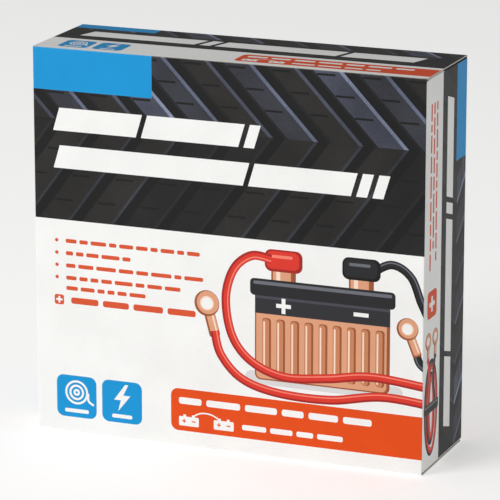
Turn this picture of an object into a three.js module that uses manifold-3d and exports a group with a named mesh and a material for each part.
// A retail folding carton: one die-cut blank of solid board, erected into an upright box
// with a glued bottom, two dust flaps and a hinged lid that tucks behind the front panel.
// Millimetres, +Z up. The front panel faces -Y. The origin is the middle of the underside.
import * as THREE from 'three';
import { mergeVertices } from 'three/addons/utils/BufferGeometryUtils.js';
import Module from 'manifold-3d';

const wasm = await Module();
wasm.setup();

// Outside sizes of the closed carton
const WIDTH = 240;
const DEPTH = 70;
const HEIGHT = 230;

// The board and its folds
const BOARD = 0.6; // caliper of the board
const FOLD_RADIUS = 0.9; // outer radius of the upright folds
const FOLD_GAP = 0.3; // left between two panels that turn on each other
const CURVE_STEPS = 5;

// The lid and its tuck tab
const LID_INSET = 0.2; // the lid is this much narrower than the carton on each side
const TAB_LENGTH = 18;
const TAB_SET_IN = 2.5; // the tab starts this far in from each end of the lid
const TAB_TAPER = 1.5; // and narrows by this much before its round corners
const TAB_CORNER = 9;
const TAB_SPARE_LEAN = THREE.MathUtils.degToRad(1); // inward lean beyond what the swing needs

// The dust flaps
const FLAP_LENGTH = 52;
const FLAP_SLOPE = 1.35; // flap length gained for each mm away from the lid's fold
const FLAP_CORNER = 7;
const FLAP_FRONT_CLEARANCE = 1.2; // between a flap's front edge and the tab's fold
const FLAP_BACK_CLEARANCE = 0.5; // between a flap's back edge and the back panel

// The glued side seam, inside the left panel
const SEAM_WIDTH = 16;
const SEAM_END_TAPER = 8; // its ends slope by this much
const SEAM_END_SPACE = 3; // its long edge stops this far above the bottom
const SEAM_EDGE_STEP = 0.4; // the left panel's cut edge stops this far before the back face

// The glued bottom: an outer flap over an inner one, over two dust flaps
const BOTTOM_EDGE_STEP = 0.8; // the outer flap's cut edge stops this far before the back face
const BOTTOM_SIDE_STEP = 0.3; // and its ends this far before the side faces
const BOTTOM_INNER_DEPTH = 45;
const BOTTOM_FLAP_LENGTH = 52;

// A cutter runs past what it cuts by this much
const CUT_PAST = 2;

// Heights and places worked out from the sizes above
const halfWidth = WIDTH / 2;
const halfDepth = DEPTH / 2;
const innerHalfWidth = halfWidth - BOARD;
const innerHalfDepth = halfDepth - BOARD;
const backTop = HEIGHT - BOARD - FOLD_GAP;
const flapTop = HEIGHT - BOARD - FOLD_GAP;
const flapUnder = flapTop - BOARD;
const sideTop = flapUnder - FOLD_GAP;
const lidFront = -innerHalfDepth + FOLD_GAP;
const lidHalfWidth = halfWidth - LID_INSET;
const lidReach = halfDepth - lidFront;
// A straight tab of this length swings out past the front panel only if it leans in by this angle
const tabLean = Math.asin(TAB_LENGTH / (2 * lidReach)) + TAB_SPARE_LEAN;

// Maps a shape drawn across Y and up Z to a solid that runs along X
const ALONG_X = new THREE.Matrix4().makeBasis(
  new THREE.Vector3(0, 1, 0), new THREE.Vector3(0, 0, 1), new THREE.Vector3(1, 0, 0));
// Maps a shape drawn across X and up Z to a solid that runs towards -Y
const ALONG_Y = new THREE.Matrix4().makeBasis(
  new THREE.Vector3(1, 0, 0), new THREE.Vector3(0, 0, 1), new THREE.Vector3(0, -1, 0));

function toSolid(geometry) {
  const bare = geometry.clone();
  for (const name of ['normal', 'uv']) bare.deleteAttribute(name);
  const merged = mergeVertices(bare, 1e-4);
  return new wasm.Manifold(new wasm.Mesh({
    numProp: 3,
    vertProperties: new Float32Array(merged.attributes.position.array),
    triVerts: new Uint32Array(merged.index.array),
  }));
}

function toGeometry(solid) {
  const mesh = solid.getMesh();
  const geometry = new THREE.BufferGeometry();
  geometry.setAttribute('position', new THREE.BufferAttribute(new Float32Array(mesh.vertProperties), 3));
  geometry.setIndex(new THREE.BufferAttribute(new Uint32Array(mesh.triVerts), 1));
  geometry.computeVertexNormals();
  return geometry;
}

// A block between two corners
function block(low, high) {
  const size = high.map((value, axis) => value - low[axis]);
  const geometry = new THREE.BoxGeometry(...size);
  geometry.translate(...low.map((value, axis) => value + size[axis] / 2));
  return toSolid(geometry);
}

function extrude(shape, depth, placing = new THREE.Matrix4()) {
  const geometry = new THREE.ExtrudeGeometry(shape, { depth, bevelEnabled: false, curveSegments: CURVE_STEPS });
  geometry.applyMatrix4(placing);
  return geometry;
}

// A closed outline through corner points, each rounded by its own radius
function roundedOutline(corners) {
  const shape = new THREE.Shape();
  corners.forEach(([x, y, radius], index) => {
    const here = new THREE.Vector2(x, y);
    const before = corners[(index + corners.length - 1) % corners.length];
    const after = corners[(index + 1) % corners.length];
    const start = new THREE.Vector2(before[0], before[1]).sub(here).setLength(radius).add(here);
    const end = new THREE.Vector2(after[0], after[1]).sub(here).setLength(radius).add(here);
    if (index === 0) shape.moveTo(start.x, start.y);
    else shape.lineTo(start.x, start.y);
    if (radius > 0) shape.quadraticCurveTo(x, y, end.x, end.y);
  });
  shape.closePath();
  return shape;
}

// A rectangle about the origin with round corners, as a shape or as a hole in one
function roundedRectangle(path, halfX, halfY, radius) {
  const x = halfX - radius;
  const y = halfY - radius;
  path.moveTo(halfX, -y);
  path.lineTo(halfX, y);
  path.absarc(x, y, radius, 0, Math.PI / 2, false);
  path.lineTo(-x, halfY);
  path.absarc(-x, y, radius, Math.PI / 2, Math.PI, false);
  path.lineTo(-halfX, -y);
  path.absarc(-x, -y, radius, Math.PI, 1.5 * Math.PI, false);
  path.lineTo(x, -halfY);
  path.absarc(x, -y, radius, 1.5 * Math.PI, 2 * Math.PI, false);
  path.closePath();
  return path;
}

// The four upright panels, as one wall folded round the box
function uprightPanels() {
  const outline = roundedRectangle(new THREE.Shape(), halfWidth, halfDepth, FOLD_RADIUS);
  outline.holes.push(roundedRectangle(
    new THREE.Path(), innerHalfWidth, innerHalfDepth, Math.max(FOLD_RADIUS - BOARD, 0.1)));
  const raise = new THREE.Matrix4().makeTranslation(0, 0, BOARD);
  let wall = toSolid(extrude(outline, HEIGHT - BOARD, raise));

  // Behind the front panel the lid lies on top, so the back panel stops below it
  wall = wall.subtract(block(
    [-halfWidth - CUT_PAST, -innerHalfDepth, backTop],
    [halfWidth + CUT_PAST, halfDepth + CUT_PAST, HEIGHT + CUT_PAST]));
  // The side panels stop below their dust flaps
  for (const side of [-1, 1]) {
    const ends = [side * innerHalfWidth, side * (halfWidth + CUT_PAST)].sort((a, b) => a - b);
    wall = wall.subtract(block(
      [ends[0], -innerHalfDepth, sideTop],
      [ends[1], halfDepth + CUT_PAST, HEIGHT + CUT_PAST]));
  }
  // The cut edge of the left panel, at the glued corner
  return wall.subtract(block(
    [-halfWidth - CUT_PAST, halfDepth - SEAM_EDGE_STEP, -CUT_PAST],
    [-innerHalfWidth, halfDepth + CUT_PAST, HEIGHT + CUT_PAST]));
}

// The glue flap: it runs on from the back panel and lies inside the left one
function glueFlap() {
  const low = 3 * BOARD + SEAM_END_SPACE;
  const high = sideTop - SEAM_END_SPACE;
  const shape = roundedOutline([
    [innerHalfDepth, low, 0],
    [innerHalfDepth, high, 0],
    [innerHalfDepth - SEAM_WIDTH, high - SEAM_END_TAPER, 0],
    [innerHalfDepth - SEAM_WIDTH, low + SEAM_END_TAPER, 0],
  ]);
  const place = new THREE.Matrix4().makeTranslation(-innerHalfWidth, 0, 0).multiply(ALONG_X);
  return toSolid(extrude(shape, BOARD, place));
}

// The glued bottom, as three layers of board
function bottomPanels() {
  const outer = block(
    [-halfWidth + BOTTOM_SIDE_STEP, -halfDepth, 0],
    [halfWidth - BOTTOM_SIDE_STEP, halfDepth - BOTTOM_EDGE_STEP, BOARD]);
  const inner = block(
    [-innerHalfWidth, innerHalfDepth - BOTTOM_INNER_DEPTH, BOARD],
    [innerHalfWidth, innerHalfDepth, 2 * BOARD]);
  const flaps = [-1, 1].map((side) => {
    const ends = [side * innerHalfWidth, side * (innerHalfWidth - BOTTOM_FLAP_LENGTH)].sort((a, b) => a - b);
    // In front of the inner flap a dust flap lies down on the outer one
    return block([ends[0], -innerHalfDepth, BOARD], [ends[1], innerHalfDepth - BOTTOM_INNER_DEPTH, 2 * BOARD])
      .add(block([ends[0], -innerHalfDepth, 2 * BOARD], [ends[1], innerHalfDepth, 3 * BOARD]));
  });
  return outer.add(inner).add(flaps[0]).add(flaps[1]);
}

// The lid and its tab in section: a plate, a round fold at each end and the tab leaning in
function lidSolid() {
  const foldY = lidFront + BOARD;
  const foldZ = HEIGHT - BOARD;
  const down = new THREE.Vector2(Math.sin(tabLean), -Math.cos(tabLean));
  const out = new THREE.Vector2(-Math.cos(tabLean), -Math.sin(tabLean));
  const tabEnd = new THREE.Vector2(foldY, foldZ).addScaledVector(down, TAB_LENGTH);
  const section = new THREE.Shape();
  section.moveTo(halfDepth, foldZ);
  section.absarc(halfDepth - BOARD, foldZ, BOARD, 0, Math.PI / 2, false);
  section.lineTo(foldY, HEIGHT);
  section.absarc(foldY, foldZ, BOARD, Math.PI / 2, Math.PI + tabLean, false);
  section.lineTo(tabEnd.x + BOARD * out.x, tabEnd.y + BOARD * out.y);
  section.lineTo(tabEnd.x, tabEnd.y);
  section.lineTo(foldY, foldZ);
  section.closePath();
  const place = new THREE.Matrix4().makeTranslation(-lidHalfWidth, 0, 0).multiply(ALONG_X);
  const plate = toSolid(extrude(section, 2 * lidHalfWidth, place));

  // What stays of the tab, seen from the front, with round lower corners
  const rootHalf = lidHalfWidth - TAB_SET_IN;
  const tipHalf = rootHalf - TAB_TAPER;
  const tipZ = tabEnd.y - BOARD;
  const kept = roundedOutline([
    [-rootHalf, foldZ, 0],
    [-tipHalf, tipZ, TAB_CORNER],
    [tipHalf, tipZ, TAB_CORNER],
    [rootHalf, foldZ, 0],
  ]);
  const front = lidFront - CUT_PAST;
  const back = tabEnd.x + CUT_PAST;
  const keptBlock = toSolid(extrude(
    kept, back - front, new THREE.Matrix4().makeTranslation(0, back, 0).multiply(ALONG_Y)));
  const tabRoom = block([-halfWidth, front, tipZ - CUT_PAST], [halfWidth, back, foldZ]);
  return plate.subtract(tabRoom.subtract(keptBlock));
}

// The dust flap of one side, -1 or 1: square at the front, sloped along the lid's fold
function dustFlap(side) {
  const front = -halfDepth + 2 * BOARD + FOLD_GAP + FLAP_FRONT_CLEARANCE;
  const back = innerHalfDepth - FLAP_BACK_CLEARANCE;
  const tip = halfWidth - FLAP_LENGTH;
  const shape = roundedOutline([
    [side * halfWidth, front, 0],
    [side * tip, front, FLAP_CORNER],
    [side * tip, halfDepth - FLAP_LENGTH / FLAP_SLOPE, FLAP_CORNER],
    [side * (halfWidth - FLAP_SLOPE * (halfDepth - back)), back, 0],
    [side * halfWidth, back, 0],
  ]);
  return extrude(shape, BOARD, new THREE.Matrix4().makeTranslation(0, 0, flapUnder));
}

const box = new THREE.Group();

function addPiece(name, geometry, colour, roughness) {
  const material = new THREE.MeshStandardMaterial({ color: colour, roughness, metalness: 0 });
  const mesh = new THREE.Mesh(geometry, material);
  mesh.name = name;
  box.add(mesh);
}

addPiece('carton_body', toGeometry(uprightPanels().add(glueFlap()).add(bottomPanels())), 0xf3f2ef, 0.4);
addPiece('lid', toGeometry(lidSolid()), 0xc9c8c5, 0.4);
addPiece('dust_flap_left', dustFlap(-1), 0xd8d3c8, 0.7);
addPiece('dust_flap_right', dustFlap(1), 0xd8d3c8, 0.7);

export default box;
